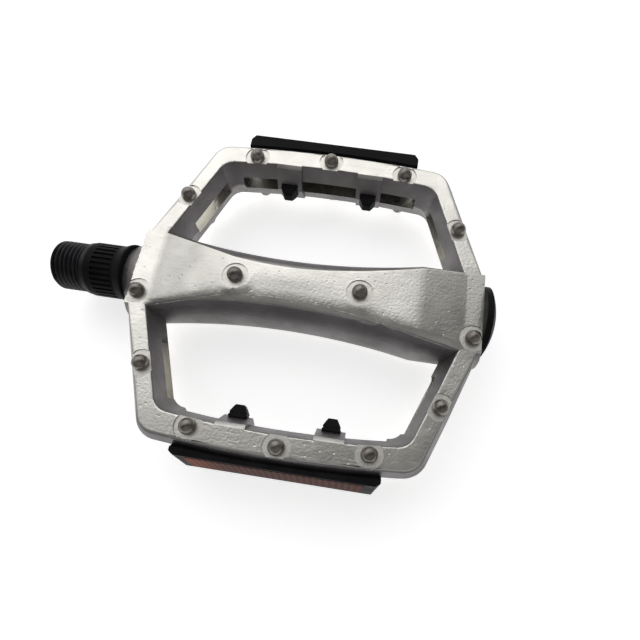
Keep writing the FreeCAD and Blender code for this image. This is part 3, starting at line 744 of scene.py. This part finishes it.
def housing_section(offset):
    """A reflector housing's outline across it, at an offset from the cage's centre."""
    x = CENTRE_X + offset
    end = 1 - END_PINCH * smooth_step(REFLECTOR_HALF - END_LENGTH, REFLECTOR_HALF, abs(offset))
    back = REFLECTOR_SINK - FRONT_Y - bow_at(offset)
    wall = -FRONT_Y - FRONT_BOW
    return [
        (x, back, REFLECTOR_BACK), (x, back - REFLECTOR_SLOPE, REFLECTOR_Z),
        (x, wall - REFLECTOR_TOP * end, REFLECTOR_Z), (x, wall - REFLECTOR_FOOT * end, -REFLECTOR_Z),
        (x, back - REFLECTOR_SLOPE, -REFLECTOR_Z), (x, back, -REFLECTOR_BACK),
    ]


def prong_section(middle, y, half, high):
    """A prong's rectangle at one distance from the spindle, in millimetres but for its middle."""
    left, right = middle - half * MM, middle + half * MM
    return [
        (left, -y * MM, -high * MM), (right, -y * MM, -high * MM),
        (right, -y * MM, high * MM), (left, -y * MM, high * MM),
    ]


def make_housing(face, rear, material):
    """A reflector's housing, shaped to the wall, with two barbed prongs."""
    mesh = bmesh.new()
    offsets = steps(-REFLECTOR_HALF, REFLECTOR_HALF, REFLECTOR_STEP)
    loft(mesh, [housing_section(offset) for offset in offsets])
    for side in (-1, 1):
        middle = CENTRE_X + side * PRONG_X
        loft(mesh, [prong_section(middle, *section) for section in PRONG_SECTIONS])
    turn_to_rear(mesh, rear)
    housing = finish_mesh(f"{face}_housing", mesh, material)
    add_bevel(housing, HOUSING_EDGE)
    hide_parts(f"{face}_reflector_housing")
    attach(housing, "platform")


def lens_point(x, share, proud):
    """A point on a reflector's sloped front, by its share of the way down and its height over the face."""
    wall = FRONT_Y + FRONT_BOW
    out = REFLECTOR_TOP + (REFLECTOR_FOOT - REFLECTOR_TOP) * share
    slope = Vector((0, -2 * REFLECTOR_Z, REFLECTOR_FOOT - REFLECTOR_TOP)).normalized()
    return Vector((x, -wall - out, REFLECTOR_Z * (1 - 2 * share))) + slope * proud


def lens_section(offset):
    """A lens's outline across it, at an offset from the cage's centre."""
    x = CENTRE_X + offset
    top, foot = LENS_BORDER, 1 - LENS_BORDER
    corners = [(top, LENS_PROUD), (foot, LENS_PROUD), (foot, -LENS_BACK), (top, -LENS_BACK)]
    return [lens_point(x, share, proud) for share, proud in corners]


def make_lens(face, rear, material):
    """A reflector's lens, set in the housing's sloped front."""
    mesh = bmesh.new()
    loft(mesh, [lens_section(offset) for offset in steps(-LENS_HALF, LENS_HALF, REFLECTOR_STEP)])
    turn_to_rear(mesh, rear)
    lens = finish_mesh(f"{face}_lens", mesh, material)
    add_bevel(lens, LENS_EDGE)
    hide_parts(f"{face}_reflector_lens")
    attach(lens, "platform")


def seen_directly(nodes, links):
    """One for rays from the camera, and for those that mirrors and clear pieces send on."""
    path = nodes.new("ShaderNodeLightPath")
    total = path.outputs["Is Camera Ray"]
    for kind in ("Is Glossy Ray", "Is Transmission Ray"):
        total = combine(nodes, links, "MAXIMUM", total, path.outputs[kind])
    return total


def make_stage(low):
    """A plain white floor under the part, lifted to white where it is seen, with the part's shadow kept."""
    bpy.ops.mesh.primitive_plane_add(size=FLOOR_SIZE, location=(0, 0, low[2]))
    floor = bpy.context.object
    floor.name = "floor"
    material, nodes, links, shader = new_material("floor_white")
    shader.inputs["Base Color"].default_value = FLOOR_COLOUR
    shader.inputs["Roughness"].default_value = FLOOR_ROUGHNESS
    shader.inputs["Emission Color"].default_value = WHITE
    lift = add(nodes, "ShaderNodeMath", operation="MULTIPLY")
    links.new(seen_directly(nodes, links), lift.inputs[0])
    lift.inputs[1].default_value = FLOOR_LIFT
    links.new(lift.outputs["Value"], shader.inputs["Emission Strength"])
    floor.data.materials.append(material)


def make_world():
    """A studio that is bright at the rear, grey in front and round the horizon, and darkest overhead."""
    world = bpy.data.worlds.new("studio")
    bpy.context.scene.world = world
    world.use_nodes = True
    nodes = world.node_tree.nodes
    links = world.node_tree.links
    place = nodes.new("ShaderNodeTexCoord")
    across = add(nodes, "ShaderNodeVectorMath", operation="DOT_PRODUCT")
    links.new(place.outputs["Generated"], across.inputs[0])
    across.inputs[1].default_value = BRIGHT_SIDE
    rearward = between(nodes, links, across.outputs["Value"], -1.0, 1.0)
    sky = ramp(nodes, links, rearward, SKY_STOPS)
    horizon = ramp(nodes, links, rearward, HORIZON_STOPS)
    above = ramp(nodes, links, parts_of(nodes, links, "Generated")["Z"], HORIZON_ENDS)
    links.new(mix_colour(nodes, links, above, horizon, sky), nodes["Background"].inputs["Color"])


def add_softbox(name, target):
    """A soft light that faces a point."""
    data = bpy.data.lights.new(name, "AREA")
    data.shape = "RECTANGLE"
    data.size, data.size_y = LAMP_SIZE
    data.energy = LAMP_POWER
    light = bpy.data.objects.new(name, data)
    light.location = LAMP_PLACE
    light.rotation_euler = (Vector(target) - Vector(LAMP_PLACE)).to_track_quat("-Z", "Y").to_euler()
    bpy.context.collection.objects.link(light)


def make_camera():
    """The camera at the photograph's viewpoint."""
    data = bpy.data.cameras.new("camera")
    data.sensor_width = SENSOR_MM
    data.lens = FOCAL_PIXELS / IMAGE_PIXELS * SENSOR_MM
    data.shift_x = -(CENTRE_PIXEL[0] - IMAGE_PIXELS / 2) / IMAGE_PIXELS
    data.shift_y = (CENTRE_PIXEL[1] - IMAGE_PIXELS / 2) / IMAGE_PIXELS
    data.clip_start = CLIP_START
    camera = bpy.data.objects.new("camera", data)
    right = Vector(CAMERA_RIGHT).normalized()
    up = Vector(CAMERA_UP).normalized()
    back = right.cross(up)
    turn = Matrix((right, up, back)).transposed().to_4x4()
    camera.matrix_world = Matrix.Translation(CAMERA_PLACE) @ turn
    bpy.context.collection.objects.link(camera)
    bpy.context.scene.camera = camera


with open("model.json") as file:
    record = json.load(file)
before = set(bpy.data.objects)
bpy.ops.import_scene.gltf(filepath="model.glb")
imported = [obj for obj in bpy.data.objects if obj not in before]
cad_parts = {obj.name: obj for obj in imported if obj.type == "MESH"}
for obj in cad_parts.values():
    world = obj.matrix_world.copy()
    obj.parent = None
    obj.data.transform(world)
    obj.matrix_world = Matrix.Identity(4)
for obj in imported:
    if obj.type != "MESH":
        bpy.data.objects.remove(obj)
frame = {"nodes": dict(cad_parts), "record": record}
cad_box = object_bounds()
bpy.context.scene.view_settings.view_transform = "Standard"
materials = all_materials()
dress_nodes(frame, materials)
make_spindle(materials["black_steel"])
make_casting(frame["nodes"]["platform_body"], materials["cast_aluminium"])
make_washer(frame["nodes"]["keyed_washer"], materials["bearing_steel"])
for face, rear in (("front", False), ("rear", True)):
    make_housing(face, rear, materials["black_resin"])
    make_lens(face, rear, materials["amber_lens"])
make_stage(cad_box[0])
make_world()
middle = tuple((a + b) / 2 for a, b in zip(*cad_box))
add_softbox("rear", middle)
make_camera()
